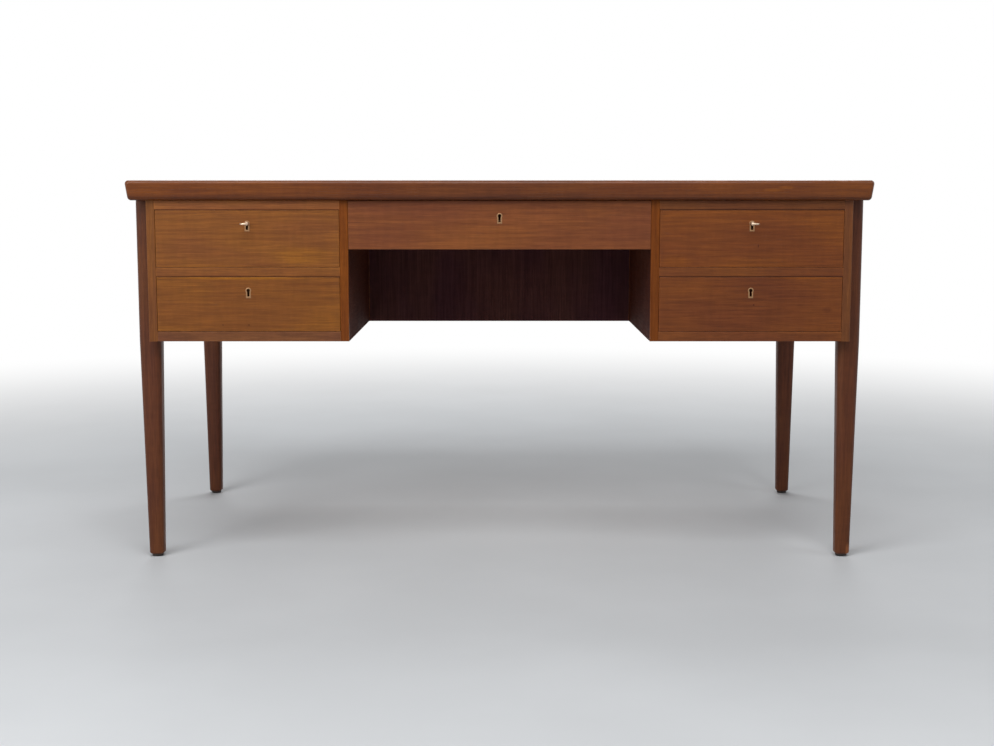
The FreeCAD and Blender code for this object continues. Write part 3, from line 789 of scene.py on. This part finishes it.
def screw_tree():
    """Slotted screws, one at each point, the head facing the point's own way and the slot at any angle."""
    lengths = ("Head Diameter", "Head Height", "Dome", "Shank Diameter", "Shank Length", "Slot Width",
               "Slot Depth")
    wires, entry = shape_tree("Slotted screws", lengths, {"Points": "Geometry", "Seed": "Int"})
    slot_overrun = 1.2
    radius = wires.times(entry["Head Diameter"], 0.5)
    inputs = {"Vertices": 32, "Fill Segments": 4, "Radius": radius, "Depth": entry["Head Height"]}
    head = wires.made("GeometryNodeMeshCylinder", inputs, fill_type="NGON")
    place = wires.made("GeometryNodeInputPosition")
    out = wires.size(wires.vector("MULTIPLY", place, (1.0, 1.0, 0.0)))
    fall = wires.times(wires.math("POWER", wires.math("DIVIDE", out, radius), 2.0), entry["Dome"])
    upper = wires.math("GREATER_THAN", wires.parts(place)["Z"], 0.0)
    inputs = {"Geometry": head, "Selection": upper, "Offset": wires.upward(wires.times(fall, -1.0))}
    head = wires.made("GeometryNodeSetPosition", inputs)
    half = wires.times(entry["Head Height"], 0.5)
    slot_size = wires.joined(wires.times(entry["Head Diameter"], slot_overrun), entry["Slot Width"],
                             wires.times(entry["Slot Depth"], 2.0))
    slot = moved(wires, wires.made("GeometryNodeMeshCube", {"Size": slot_size}), wires.upward(half))
    head = moved(wires, cut_out(wires, head, slot), wires.upward(wires.times(half, -1.0)))
    shank_radius = wires.times(entry["Shank Diameter"], 0.5)
    inputs = {"Vertices": 20, "Radius": shank_radius, "Depth": entry["Shank Length"]}
    shank = wires.made("GeometryNodeMeshCylinder", inputs)
    sunk = wires.plus(wires.times(entry["Shank Length"], 0.5), entry["Head Height"])
    shank = moved(wires, shank, wires.upward(wires.times(sunk, -1.0)))
    screw = wires.place("GeometryNodeJoinGeometry", {0: head})
    wires.feed(screw, {0: shank})
    facing = wires.made("GeometryNodeInputNamedAttribute", {"Name": "facing"}, data_type="FLOAT_VECTOR")
    turn = wires.made("FunctionNodeAlignRotationToVector", {"Vector": facing}, axis="Z")
    inputs = {2: 0.0, 3: math.pi, "Seed": entry["Seed"]}
    angle = wires.place("FunctionNodeRandomValue", inputs, data_type="FLOAT").outputs[1]
    spin = wires.made("FunctionNodeAxisAngleToRotation", {"Axis": (0.0, 0.0, 1.0), "Angle": angle})
    inputs = {"Rotation": turn, "Rotate By": spin}
    turn = wires.made("FunctionNodeRotateRotation", inputs, rotation_space="LOCAL")
    many = spread(wires, entry["Points"], screw.outputs[0], turn)
    return finished_geometry(wires, many, entry["Finish"])


tree_makers = {"Wood figure": wood_figure_group, "Edge wear": edge_wear_group, "Handling": handling_group,
               "Patch": patch_group, "Patina": patina_group, "Tapered leg": leg_tree, "Glides": glide_tree,
               "Slotted screws": screw_tree}


def shared_tree(name):
    """Node tree by name, built when it is first asked for."""
    return bpy.data.node_groups.get(name) or tree_makers[name]()


def points_mesh(places, facings=()):
    """Mesh of loose points, with the way that each one faces."""
    mesh = bpy.data.meshes.new("points")
    mesh.from_pydata(places, [], [])
    if facings:
        attribute = mesh.attributes.new("facing", "FLOAT_VECTOR", "POINT")
        for item, facing in zip(attribute.data, facings):
            item.vector = facing
    return mesh


# Shares of a screw head's diameter, and the head that the slot's settings are for
flat_head_height = 0.35
round_head_height = 0.25
shank_share = 0.5
slot_head = 0.01


def screws(name, body, node, boxes, facings, seed, finish, dome=0.0):
    """One piece of slotted screws where the frame has them, each with its head at the end that it faces."""
    shapes = bpy.context.scene.desk_shapes
    axis = max(range(3), key=lambda number: abs(facings[0][number]))
    across = 1 if axis == 0 else 0
    places = []
    for (low, high), facing in zip(boxes, facings):
        place = (low + high) / 2
        place[axis] = high[axis] if facing[axis] > 0 else low[axis]
        places.append(place)
    low, high = boxes[0]
    diameter = high[across] - low[across]
    height = diameter * (round_head_height if dome else flat_head_height)
    values = {
        "Head Diameter": diameter, "Head Height": height, "Dome": dome,
        "Shank Diameter": diameter * shank_share, "Shank Length": high[axis] - low[axis] - height,
        "Slot Width": shapes.screw_slot_width * diameter / slot_head,
        "Slot Depth": shapes.screw_slot_depth * diameter / slot_head,
        "Seed": seed, "Finish": finish,
    }
    mesh = grown(name, "Slotted screws", values, points_mesh(places, facings))
    add_piece(name, mesh, body, node)


# Shapes of the locks and keys

def bridge(work, rings, closed=False):
    """Faces between rings of vertices that follow each other, and from last to first where they close."""
    pairs = list(zip(rings, rings[1:])) + ([(rings[-1], rings[0])] if closed else [])
    for first, second in pairs:
        for number in range(len(first)):
            after = (number + 1) % len(first)
            work.faces.new((first[number], first[after], second[after], second[number]))


def lathe(work, profile, centre, cuts=32):
    """Closed turned shape along Y: profile points are (place along Y, radius)."""
    turns = [math.tau * number / cuts for number in range(cuts)]
    rings = []
    for along, radius in profile:
        points = [(centre.x + radius * math.cos(t), along, centre.z + radius * math.sin(t)) for t in turns]
        rings.append([work.verts.new(point) for point in points])
    bridge(work, rings)
    work.faces.new(rings[0])
    work.faces.new(rings[-1][::-1])


def flattened(wave, squareness=0.6):
    """Wave between -1 and 1 that stays longer at its ends."""
    return math.copysign(abs(wave) ** squareness, wave)


def oval_ring(work, centre, outer, inner, thickness, cuts=56, section=16):
    """Flat oval ring with softly rounded edges. Outer and inner are half widths along X and Y."""
    rings = []
    for number in range(cuts):
        turn = math.tau * number / cuts
        ring = []
        for step in range(section):
            angle = math.tau * step / section
            swell = flattened(math.cos(angle))
            across, along = [(o + i) / 2 + (o - i) / 2 * swell for o, i in zip(outer, inner)]
            ring.append(work.verts.new((centre.x + across * math.cos(turn), centre.y + along * math.sin(turn),
                                        centre.z + thickness / 2 * flattened(math.sin(angle)))))
        rings.append(ring)
    bridge(work, rings, closed=True)


def keyhole_points(radius, width, drop, cuts=28):
    """Outline of a round head over a straight body, about the head's centre: an arc and two corners."""
    half = width / 2
    start = -math.acos(half / radius)
    sweep = math.pi - 2 * start
    turns = [start + sweep * number / cuts for number in range(cuts + 1)]
    arc = [(radius * math.cos(turn), radius * math.sin(turn)) for turn in turns]
    return arc + [(-half, -drop), (half, -drop)]


def plate_mesh(name, box):
    """Keyhole plate with rounded rims, upright in the front."""
    shapes = bpy.context.scene.desk_shapes
    low, high = box
    radius = (high.x - low.x) / 2
    axis = Vector(((low.x + high.x) / 2, (low.y + high.y) / 2, high.z - radius))
    flat = bpy.data.curves.new(name, "CURVE")
    flat.dimensions = "2D"
    flat.fill_mode = "BOTH"
    flat.bevel_depth = shapes.plate_rim
    flat.bevel_resolution = 2
    flat.offset = -shapes.plate_rim
    flat.extrude = (high.y - low.y) / 2 - shapes.plate_rim
    plate = (radius, shapes.plate_body_width, axis.z - low.z)
    keyhole = (shapes.keyhole_radius, shapes.keyhole_slot_width, shapes.keyhole_slot_drop)
    for sizes in (plate, keyhole):
        outline = keyhole_points(*sizes)
        spline = flat.splines.new("POLY")
        spline.points.add(len(outline) - 1)
        for point, (x, y) in zip(spline.points, outline):
            point.co = (x, y, 0.0, 1.0)
        spline.use_cyclic_u = True
    mesh = shown_mesh(linked(name, flat))
    mesh.transform(Matrix.Translation(axis) @ Matrix.Rotation(math.pi / 2, 4, "X"))
    work = bmesh.new()
    work.from_mesh(mesh)
    bmesh.ops.remove_doubles(work, verts=work.verts, dist=merge_distance)
    return settle(work, mesh)


def key_mesh(name, box):
    """Key with an oval bow, three turned beads on its shaft, and a bit."""
    shapes = bpy.context.scene.desk_shapes
    low, high = box
    middle = (low + high) / 2
    shaft = shapes.key_shaft_diameter / 2
    half = shaft / 2
    collar = (high.z - low.z) / 2
    side_bead = 0.72 * collar
    bead_step = 2.2 * half
    bead_cuts = 6
    bead_fullness = 0.7
    neck_shares = (0.7, 0.95, 1.0)
    tip_length = 0.2 * shaft
    tip_radius = 0.8 * shaft
    bead = case_front - shapes.key_collar_place
    neck = low.y + shapes.key_bow_length - shapes.key_bow_thickness
    work = bmesh.new()
    bow = Vector((middle.x, low.y + shapes.key_bow_length / 2, middle.z))
    outer = ((high.x - low.x) / 2, shapes.key_bow_length / 2)
    inner = (shapes.key_hole_width / 2, shapes.key_hole_length / 2)
    oval_ring(work, bow, outer, inner, shapes.key_bow_thickness)
    profile = [(neck + number * half, shaft * part) for number, part in enumerate(neck_shares)]
    for place, radius in ((bead - bead_step, side_bead), (bead, collar), (bead + bead_step, side_bead)):
        for step in range(bead_cuts + 1):
            turn = math.pi * step / bead_cuts
            swell = (radius - shaft) * math.sin(turn) ** bead_fullness
            profile.append((place - half * math.cos(turn), shaft + swell))
    profile += [(high.y - tip_length, shaft), (high.y, tip_radius)]
    lathe(work, profile, middle)
    bit = Vector((shapes.key_bit_length, shapes.key_bit_depth, shapes.key_bit_thickness))
    place = Vector((middle.x - bit.x / 2, high.y - bit.y / 2, middle.z))
    bmesh.ops.create_cube(work, size=1.0, matrix=Matrix.LocRotScale(place, None, bit))
    return settle(work, bpy.data.meshes.new(name))


# Operators, one for each group of pieces

class DeskTop(bpy.types.Operator):
    """Finish the worktop and its lippings"""

    bl_idname = "desk.top"
    bl_label = "Worktop"

    grains = {"top_panel": "X lying", "top_lipping_front": "X", "top_lipping_back": "X",
              "top_lipping_left": "Y", "top_lipping_right": "Y"}
    panel_reach = 0.0002
    lipping_reach = 0.0056
    flame = (1.5, 1.6, 0.85)
    cooler = (0.83, 0.83, 1.1)
    # Painted shadow: a dark, cool band along the underside of the front lipping
    grime = (0.66, 0.62, 0.82)
    edge_front = case_front - 0.014
    edge_foot = case_front - 0.01
    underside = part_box("top_lipping_front")[0].z
    front_marks = [((0.512, edge_front, 0.7135), (0.024, 0.02, 0.0042), flame),
                   ((0.536, edge_front, 0.7182), (0.02, 0.02, 0.0046), flame),
                   ((0, edge_front, 0.715), (0.3, 0.1, 0.06), cooler),
                   ((0, edge_foot, underside), (2.2, 0.1, 0.016), grime)]

    def execute(self, context):
        wood = context.scene.desk_wood
        for plank, (node, axis) in enumerate(self.grains.items(), first_plank["top"]):
            panel = node == "top_panel"
            marks = self.front_marks if node == "top_lipping_front" else ()
            finish_node(node, teak(node, wood.top, axis, plank, marks, sheen=polished,
                                   reach=self.panel_reach if panel else self.lipping_reach,
                                   growth=wood.panel_growth if panel else None))
        return {"FINISHED"}


class DeskCase(bpy.types.Operator):
    """Finish the panels, rails and bottoms of the case"""

    bl_idname = "desk.case"
    bl_label = "Case"

    grains = {"outer_side": "Y", "inner_side": "Y", "pedestal_bottom": "X lying", "top_rail": "X",
              "middle_rail": "X", "partition": "Z"}
    # Tints by piece, mostly painted light and shade: the left pieces lit and the right ones shaded, a painted
    # reflection on the left top rail and the worktop's painted shadow on the right one; some is the wood's
    # own tone
    tones = {
        "outer_side_left": (0.82, 0.82, 0.8), "outer_side_right": (0.72, 0.72, 1.0),
        "inner_side_left": (0.9, 0.74, 0.5), "inner_side_right": (0.78, 0.63, 0.5),
        "pedestal_bottom_left": (0.73, 0.77, 1.33), "pedestal_bottom_right": (0.77, 0.67, 0.75),
        "top_rail_left": (1.3, 1.32, 1.5), "top_rail_right": (0.69, 0.63, 0.8),
        "middle_rail_left": (1.04, 1.06, 0.95), "middle_rail_right": (0.79, 0.7, 0.71),
    }
    own_tone = (1, 1, 1)
    # Painted shadow: a dark line along the lower edge of each rail, where the gap below it is in shade
    grime = (0.5, 0.42, 0.4)
    grime_reach = (0.9, 0.02, 0.003)
    back_edge = 0.001

    def execute(self, context):
        wood = context.scene.desk_wood
        panel_front, panel_back = [corner.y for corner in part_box("modesty_panel")]
        plank = first_plank["case"]
        for start, axis in self.grains.items():
            for node in (start + "_" + hand for hand in hands):
                low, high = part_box(node)
                lower_edge = ((low.x + high.x) / 2, low.y, low.z)
                # Case teak with its piece's painted light or shade
                shade = tinted(wood.case, self.tones.get(node, self.own_tone))[:3]
                # Rails get a painted shadow line along their lower edge
                marks = [(lower_edge, self.grime_reach, self.grime)] if start.endswith("rail") else ()
                lipping = "Z" if start.endswith("side") else None
                # Inner sides carry painted shade of the kneehole behind their front strips
                face = (wood.inner_faces, panel_front) if start == "inner_side" else None
                finish_node(node, teak(node, shade, axis, plank, marks, lipping, face))
                plank += 1
        # The kneehole's panel carries painted shade on all but its rear face
        face = (wood.kneehole, panel_back - self.back_edge)
        finish_node("modesty_panel", teak("modesty_panel", wood.case, "Z", plank, face=face,
                                          growth=wood.kneehole_growth))
        finish_node("book_bay_bottom", teak("book_bay_bottom", wood.case, "X lying", plank + 1))
        return {"FINISHED"}


class DeskFronts(bpy.types.Operator):
    """Finish the drawer fronts, each in its own piece of veneer"""

    bl_idname = "desk.fronts"
    bl_label = "Drawer fronts"

    dark_dot = (0.4, 0.34, 0.36)
    faint_stain = (0.78, 0.74, 0.8)
    golden = (1.14, 1.18, 0.84)
    # Pale line along the lower left front's top edge: partly wear, partly a painted highlight where the edge
    # catches the light
    bright_edge = (1.45, 1.55, 0.8)
    pale_edge = (1.4, 1.45, 0.95)
    marks = {
        "upper_left": [((-0.37, case_front, 0.59), (0.075, 0.03, 0.022), golden)],
        "lower_left": [((-0.5254, case_front, 0.4588), (0.0016, 0.004, 0.0016), dark_dot),
                       ((-0.476, case_front, 0.4588), (0.0018, 0.004, 0.0018), dark_dot),
                       ((-0.50, case_front, 0.549), (0.16, 0.02, 0.006), bright_edge)],
        "upper_right": [((0.4885, case_front, 0.6085), (0.0014, 0.004, 0.004), dark_dot),
                        ((0.335, case_front, 0.58), (0.04, 0.03, 0.016), golden)],
        "lower_right": [((0.58, case_front, 0.549), (0.09, 0.02, 0.005), pale_edge),
                        ((0.482, case_front, 0.4969), (0.0022, 0.004, 0.0022), dark_dot),
                        ((0.6214, case_front, 0.4874), (0.012, 0.01, 0.008), faint_stain)],
    }

    def execute(self, context):
        wood = context.scene.desk_wood
        for plank, name in enumerate(drawer_names, first_plank["fronts"]):
            node = "front_" + name
            finish_node(node, teak(node, getattr(wood, node), "X", plank, self.marks.get(name, ())))
        return {"FINISHED"}


class DeskDrawers(bpy.types.Operator):
    """Finish the drawer boxes behind the fronts"""

    bl_idname = "desk.drawers"
    bl_label = "Drawer boxes"

    def execute(self, context):
        wood = context.scene.desk_wood
        parts = (("sides", wood.beech, "Y"), ("back", wood.beech, "X"), ("bottom", wood.plywood, "X lying"))
        for plank, name in enumerate(drawer_names, first_plank["drawers"]):
            for start, shade, axis in parts:
                node = start + "_" + name
                finish_node(node, pale_wood(node, shade, axis, plank, wood.drawer_growth))
        return {"FINISHED"}


class DeskRunners(bpy.types.Operator):
    """Finish the drawer runners and the blocks under the top"""

    bl_idname = "desk.runners"
    bl_label = "Runners and blocks"

    grains = {"drawer_runners": "Y", "top_blocks": "X"}

    def execute(self, context):
        wood = context.scene.desk_wood
        for plank, (node, axis) in enumerate(self.grains.items(), first_plank["runners"]):
            finish_node(node, pale_wood(node, wood.beech, axis, plank, wood.runner_growth))
        return {"FINISHED"}


class DeskLegs(bpy.types.Operator):
    """Shape and finish the four tapered legs"""

    bl_idname = "desk.legs"
    bl_label = "Legs"

    pale_scuff = (2.6, 3.0, 3.0)
    marks = {"front_right": [((0.6822, -0.306, 0.012), (0.006, 0.02, 0.02), pale_scuff)]}

    def execute(self, context):
        shapes = context.scene.desk_shapes
        shade = context.scene.desk_wood.legs
        for plank, name in enumerate(leg_names, first_plank["legs"]):
            node = "leg_" + name
            hand = name.split("_")[1]
            low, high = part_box(node)
            side_low, side_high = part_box("outer_side_" + hand)
            middle = (low + high) / 2
            width = high.x - low.x
            face, inner = (side_high.x, -width) if hand == "right" else (side_low.x, width)
            values = {
                "Width": width, "Foot Width": shapes.leg_foot_width,
                "Corner Radius": shapes.leg_corner_radius, "Corner Cuts": shapes.leg_corner_cuts,
                "Foot Chamfer": shapes.leg_foot_chamfer,
                "Foot Height": low.z, "Knee Height": side_low.z, "Top Height": high.z,
                "Place": (middle.x, middle.y, 0.0),
                "Rebate Size": (width, 2 * width, 2 * (high.z - side_low.z)),
                "Rebate Place": (face + inner / 2, middle.y, high.z),
                "Finish": teak(node, shade, "Z", plank, self.marks.get(name, ())),
            }
            mesh = grown("tapered_" + node, "Tapered leg", values)
            add_piece("tapered_" + node, mesh, frame_body, node)
        return {"FINISHED"}


class DeskGlides(bpy.types.Operator):
    """Shape and finish the glides under the legs"""

    bl_idname = "desk.glides"
    bl_label = "Glides"

    def execute(self, context):
        boxes = solid_boxes("leg_glides")
        low, high = boxes[0]
        places = [((a.x + b.x) / 2, (a.y + b.y) / 2, a.z) for a, b in boxes]
        values = {"Diameter": high.x - low.x, "Height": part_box("leg_front_left")[0].z,
                  "Edge": context.scene.desk_shapes.glide_edge,
                  "Finish": glide_plastic("black_glide", context.scene.desk_metal.glide)}
        mesh = grown("round_glides", "Glides", values, points_mesh(places))
        add_piece("round_glides", mesh, frame_body, "leg_glides")
        return {"FINISHED"}


class DeskScrews(bpy.types.Operator):
    """Shape and finish the slotted screws of the top and the legs"""

    bl_idname = "desk.screws"
    bl_label = "Screws"

    top_seed = 3
    leg_seed = 7

    def execute(self, context):
        metal = context.scene.desk_metal
        finish = old_metal("zinc_screws", metal.steel, metal.dull_steel, cloud_size=0.003, roughness=0.38)
        boxes = solid_boxes("top_screws")
        facings = [(0, 0, -1)] * len(boxes)
        screws("slotted_top_screws", frame_body, "top_screws", boxes, facings, self.top_seed, finish)
        boxes = solid_boxes("leg_screws")
        facings = [(-math.copysign(1, low.x), 0, 0) for low, high in boxes]
        screws("slotted_leg_screws", frame_body, "leg_screws", boxes, facings, self.leg_seed, finish)
        return {"FINISHED"}


class DeskLocks(bpy.types.Operator):
    """Shape and finish the locks: case, keyhole plate, screws and bolt"""

    bl_idname = "desk.locks"
    bl_label = "Locks"

    first_seed = 11

    def execute(self, context):
        metal = context.scene.desk_metal
        brass, dull = metal.brass, metal.dull_brass
        plate_brass = old_metal("aged_brass_plate", brass, metal.dull_plate, cloud_size=0.003, roughness=0.32)
        case_brass = old_metal("aged_brass_lock", brass, dull, cloud_size=0.008, roughness=0.36)
        bolt_brass = old_metal("rubbed_brass_bolt", brass, dull, cloud_size=0.006, roughness=0.26)
        steel = old_metal("lock_screw_steel", metal.steel, metal.dull_steel, cloud_size=0.003, roughness=0.36)
        dome = context.scene.desk_shapes.lock_screw_dome
        for seed, name in enumerate(drawer_names, self.first_seed):
            node = "lock_" + name
            body = "drawer_" + name
            case, *smaller = loose_solids(node)
            plate = min(smaller, key=lambda mesh: corners(mesh.vertices)[0].y)
            plate_box = corners(plate.vertices)
            smaller.remove(plate)
            keyhole_plate = plate_mesh("keyhole_plate_" + name, plate_box)
            case.materials.append(case_brass)
            keyhole_plate.materials.append(plate_brass)
            add_piece("lock_case_" + name, case, body, node)
            add_piece("keyhole_plate_" + name, keyhole_plate, body, node)
            boxes = [corners(mesh.vertices) for mesh in smaller]
            facings = [(0, 1, 0)] * len(boxes)
            screws("lock_screws_" + name, body, node, boxes, facings, seed, steel, dome)
            finish_node("bolt_" + name, bolt_brass)
        return {"FINISHED"}


class DeskKeys(bpy.types.Operator):
    """Shape and finish the two keys"""

    bl_idname = "desk.keys"
    bl_label = "Keys"

    def execute(self, context):
        metal = context.scene.desk_metal
        nickel = old_metal("worn_nickel", metal.nickel, metal.dull_nickel, cloud_size=0.005, roughness=0.26)
        for name in key_names:
            node = "key_" + name
            mesh = key_mesh("nickel_" + node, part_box(node))
            mesh.materials.append(nickel)
            add_piece("nickel_" + node, mesh, node, node)
        return {"FINISHED"}


class DeskStudio(bpy.types.Operator):
    """Set the floor, the lamps, the backdrop and the camera"""

    bl_idname = "desk.studio"
    bl_label = "Studio"

    white = (1, 1, 1, 1)
    lamp_aim = Vector((0, 0, 0.45))
    lamps = {
        "overhead": ((-0.3, -2.2, 3.1), (3.2, 2.0)),
        "left": ((-2.5, -2.7, 1.7), (1.8, 1.8)),
        "right": ((3.0, -1.6, 2.7), (1.8, 1.8)),
        "rear": ((0.0, 2.4, 3.0), (3.2, 2.0)),
    }

    def execute(self, context):
        stage = context.scene.desk_stage
        context.scene.view_settings.view_transform = "Standard"
        self.lay_floor(stage)
        self.light_world(context, stage)
        for name, (place, size) in self.lamps.items():
            self.hang_lamp(name + "_lamp", place, size, getattr(stage, name + "_power"))
        lens = bpy.data.cameras.new("photo_camera")
        lens.sensor_fit = "HORIZONTAL"
        lens.sensor_width = 36
        lens.lens = stage.camera_lens
        camera = linked("photo_camera", lens)
        camera.location = stage.camera_place
        camera.rotation_euler = (math.pi / 2 - stage.camera_pitch, 0, 0)
        context.scene.camera = camera
        return {"FINISHED"}

    def seen(self, wires):
        """Whether a ray shows the backdrop: straight, in a reflection or through glass."""
        rays = wires.place("ShaderNodeLightPath").outputs
        direct = wires.math("MAXIMUM", rays["Is Camera Ray"], rays["Is Glossy Ray"])
        return wires.math("MAXIMUM", direct, rays["Is Transmission Ray"])

    def lay_floor(self, stage):
        """Wide round floor whose colour fades into the white backdrop."""
        material, wires, shader = blank_finish("studio_floor")
        place = wires.vector("MULTIPLY", object_place(wires), (1.0, 1.0, 0.0))
        fade = wires.span(wires.size(place), stage.floor_reach, stage.floor_reach + stage.floor_fade)
        grain = wires.span(wires.noise(place, scale=2.0, detail=4.0), 0.3, 0.7, first=0.97, last=1.03)
        body = wires.blend(1.0, opaque(stage.floor), grain, "MULTIPLY")
        wires.feed(shader, {"Base Color": body, "Roughness": 0.7, "Specular IOR Level": 0.2})
        glow = wires.made("ShaderNodeEmission", {"Color": self.white, "Strength": 1.0})
        amount = wires.times(fade, self.seen(wires))
        mixed = wires.made("ShaderNodeMixShader", {0: amount, 1: shader.outputs[0], 2: glow})
        output = next(node for node in wires.tree.nodes if node.type == "OUTPUT_MATERIAL")
        wires.feed(output, {"Surface": mixed})
        work = bmesh.new()
        bmesh.ops.create_circle(work, cap_ends=True, segments=96, radius=14)
        mesh = settle(work, bpy.data.meshes.new("studio_floor"))
        mesh.materials.append(material)
        linked("studio_floor", mesh)

    def light_world(self, context, stage):
        """White backdrop for the camera and for reflections, with softer light from it on the desk."""
        world = bpy.data.worlds.new("studio_world")
        context.scene.world = world
        world.use_nodes = True
        wires = Wires(world.node_tree)
        strength = wires.span(self.seen(wires), 0, 1, stage.ambient, 1.0, "LINEAR")
        background = next(node for node in wires.tree.nodes if node.type == "BACKGROUND")
        wires.feed(background, {"Color": self.white, "Strength": strength})

    def hang_lamp(self, name, place, size, watts):
        """Soft lamp turned towards the desk."""
        lamp = bpy.data.lights.new(name, "AREA")
        lamp.shape = "RECTANGLE"
        lamp.size, lamp.size_y = size
        lamp.energy = watts
        holder = linked(name, lamp)
        holder.location = place
        holder.rotation_euler = (self.lamp_aim - Vector(place)).to_track_quat("-Z", "Y").to_euler()


piece_operators = (DeskTop, DeskCase, DeskFronts, DeskDrawers, DeskRunners, DeskLegs, DeskGlides, DeskScrews,
                   DeskLocks, DeskKeys, DeskStudio)
settings = {"desk_wood": DeskWood, "desk_metal": DeskMetal, "desk_shapes": DeskShapes,
            "desk_stage": DeskStage}


class DeskPanel(bpy.types.Panel):
    """Lists the desk's pieces and settings"""

    bl_idname = "DESK_PT_pieces"
    bl_label = "Writing Desk"
    bl_space_type = "VIEW_3D"
    bl_region_type = "UI"
    bl_category = "Desk"

    def draw(self, context):
        for operator in piece_operators:
            self.layout.operator(operator.bl_idname)
        for name, group in settings.items():
            box = self.layout.box()
            box.label(text=group.__doc__)
            for setting in group.__annotations__:
                box.prop(getattr(context.scene, name), setting)


classes = (*settings.values(), *piece_operators, DeskPanel)


def register():
    """Add the classes and the scene's settings."""
    for entry in classes:
        bpy.utils.register_class(entry)
    for name, group in settings.items():
        setattr(bpy.types.Scene, name, PointerProperty(type=group))


def unregister():
    """Take the settings and the classes away again."""
    for name in settings:
        delattr(bpy.types.Scene, name)
    for entry in reversed(classes):
        bpy.utils.unregister_class(entry)


def main():
    """Dress the whole desk."""
    register()
    for operator in piece_operators:
        group, name = operator.bl_idname.split(".")
        getattr(getattr(bpy.ops, group), name)()
    bpy.context.view_layer.update()


if __name__ == "__main__":
    main()
